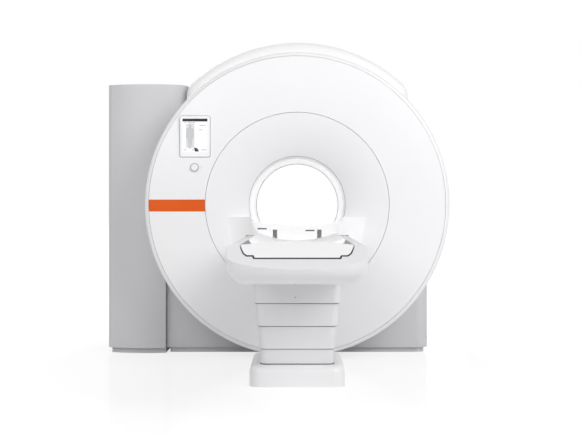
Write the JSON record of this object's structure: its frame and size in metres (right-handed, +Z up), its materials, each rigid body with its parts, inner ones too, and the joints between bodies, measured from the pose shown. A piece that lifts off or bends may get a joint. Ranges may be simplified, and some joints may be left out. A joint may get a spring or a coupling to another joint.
{
  "type": "mri scanner",
  "caption": "Short magnet with a round tunnel behind a wide disc cover, a side cabinet, and a lifting patient table whose top slides into the tunnel.",
  "frame": {"origin": "on the floor straight below the isocentre, the middle of the magnet's bore", "axes": "+Y runs along the bore away from the table, +Z is up, +X is to the right seen from the table end"},
  "size_m": [2.258, 4.0048, 2.092],
  "materials": {
    "cover_white": "gloss",
    "casing_white": "gloss",
    "liner_white": "satin",
    "cabinet_grey": "satin",
    "base_grey": "satin",
    "toe_dark": "matte",
    "stripe_orange": "gloss",
    "bezel_white": "gloss",
    "screen_glass": "polished",
    "dial_white": "satin",
    "stem_steel": "satin",
    "frame_paint": "satin",
    "vessel_paint": "satin",
    "coil_resin": "matte",
    "carrier_metal": "satin",
    "cryo_steel": "satin",
    "rack_steel": "satin",
    "unit_metal": "satin",
    "fan_black": "matte",
    "deck_white": "gloss",
    "tabletop_white": "satin",
    "console_white": "gloss",
    "skirt_white": "satin",
    "seal_black": "matte",
    "rail_grey": "satin",
    "column_metal": "satin",
    "rod_chrome": "polished",
    "belt_rubber": "matte",
    "duct_white": "satin"
  },
  "bodies": {
    "magnet": {"front_cover": "cover_white", "front_rim": "cover_white", "front_funnel": "cover_white", "rear_funnel": "cover_white", "front_collar": "liner_white", "rear_collar": "liner_white", "bore_liner": "liner_white", "bore_bridge": "liner_white", "entry_wing_left": "cover_white", "entry_wing_right": "cover_white", "front_drum": "casing_white", "casing_left": "casing_white", "casing_right": "casing_white", "casing_top": "casing_white", "rear_cover": "casing_white", "cover_carrier": "carrier_metal", "vacuum_vessel": "vessel_paint", "gradient_coil": "coil_resin", "body_coil": "coil_resin", "cold_head": "cryo_steel", "base_frame": "frame_paint", "base_cover": "base_grey", "base_plinth": "toe_dark", "cabinet_shell": "cabinet_grey", "cabinet_door": "cabinet_grey", "cabinet_plinth": "toe_dark", "cabinet_rack": "rack_steel", "power_units": "unit_metal", "display_bezel": "bezel_white", "display_glass": "screen_glass", "dial_ring": "dial_white", "stripe_inlay": "stripe_orange", "table_base_plate": "frame_paint", "table_plinth": "deck_white", "skirt_4": "skirt_white", "column_outer": "column_metal", "actuator_housing": "cryo_steel", "cable_duct": "duct_white"},
    "deck": {"deck_hull": "deck_white", "deck_end_cover": "rail_grey", "deck_frame": "frame_paint", "glide_rails": "rail_grey", "skirt_1": "skirt_white", "column_inner": "column_metal", "actuator_rod": "rod_chrome", "nose_seal": "seal_black", "drive_motor": "unit_metal", "drive_belt": "belt_rubber"},
    "skirt_two": {"skirt_2": "skirt_white"},
    "skirt_three": {"skirt_3": "skirt_white"},
    "column_stage": {"column_middle": "column_metal"},
    "drive_wheel": {"drive_pulley": "column_metal"},
    "idler_wheel": {"idler_pulley": "column_metal"},
    "tabletop": {"tabletop": "tabletop_white", "tabletop_nose": "deck_white", "coil_console": "console_white", "belt_clamp": "column_metal"},
    "dial_push": {"dial_stem": "stem_steel"},
    "dial_knob": {"dial_cap": "dial_white"},
    "fan": {"cooling_fan": "fan_black"}
  },
  "joints": [
    {"name": "table_lift", "type": "slide", "parent": "magnet", "child": "deck", "axis": [0, 0, 1], "range_m": [-0.28, 0]},
    {"name": "skirt_two_lift", "type": "slide", "parent": "magnet", "child": "skirt_two", "axis": [0, 0, 1], "range_m": [-0.1681, 0]},
    {"name": "skirt_three_lift", "type": "slide", "parent": "magnet", "child": "skirt_three", "axis": [0, 0, 1], "range_m": [-0.0561, 0]},
    {"name": "column_stage_lift", "type": "slide", "parent": "magnet", "child": "column_stage", "axis": [0, 0, 1], "range_m": [-0.1401, 0]},
    {"name": "tabletop_travel", "type": "slide", "parent": "deck", "child": "tabletop", "axis": [0, 1, 0], "range_m": [0, 1.8]},
    {"name": "drive_wheel_turn", "type": "hinge", "parent": "deck", "child": "drive_wheel", "pos_m": [0, -2.715, 0.68], "axis": [-1, 0, 0], "range_deg": [-1, 2731]},
    {"name": "idler_wheel_turn", "type": "hinge", "parent": "deck", "child": "idler_wheel", "pos_m": [0, -0.805, 0.68], "axis": [-1, 0, 0], "range_deg": [-1, 2731]},
    {"name": "dial_press", "type": "slide", "parent": "magnet", "child": "dial_push", "axis": [0, 1, 0], "range_m": [0, 0.002], "stiffness_N_per_m": 400, "springref_m": -0.002},
    {"name": "dial_turn", "type": "hinge", "parent": "dial_push", "child": "dial_knob", "pos_m": [-0.657, -0.72, 1.236], "axis": [0, 1, 0], "continuous": true},
    {"name": "fan_turn", "type": "hinge", "parent": "magnet", "child": "fan", "pos_m": [-1.08165, 0.68, 1.6], "axis": [0, 1, 0], "continuous": true}
  ],
  "couplings": [
    {"joint": "skirt_two_lift", "follows": "table_lift", "ratio": 0.6},
    {"joint": "skirt_three_lift", "follows": "table_lift", "ratio": 0.2},
    {"joint": "column_stage_lift", "follows": "table_lift", "ratio": 0.5},
    {"joint": "drive_wheel_turn", "follows": "tabletop_travel", "rad_per_m": 26.455},
    {"joint": "idler_wheel_turn", "follows": "tabletop_travel", "rad_per_m": 26.455}
  ]
}
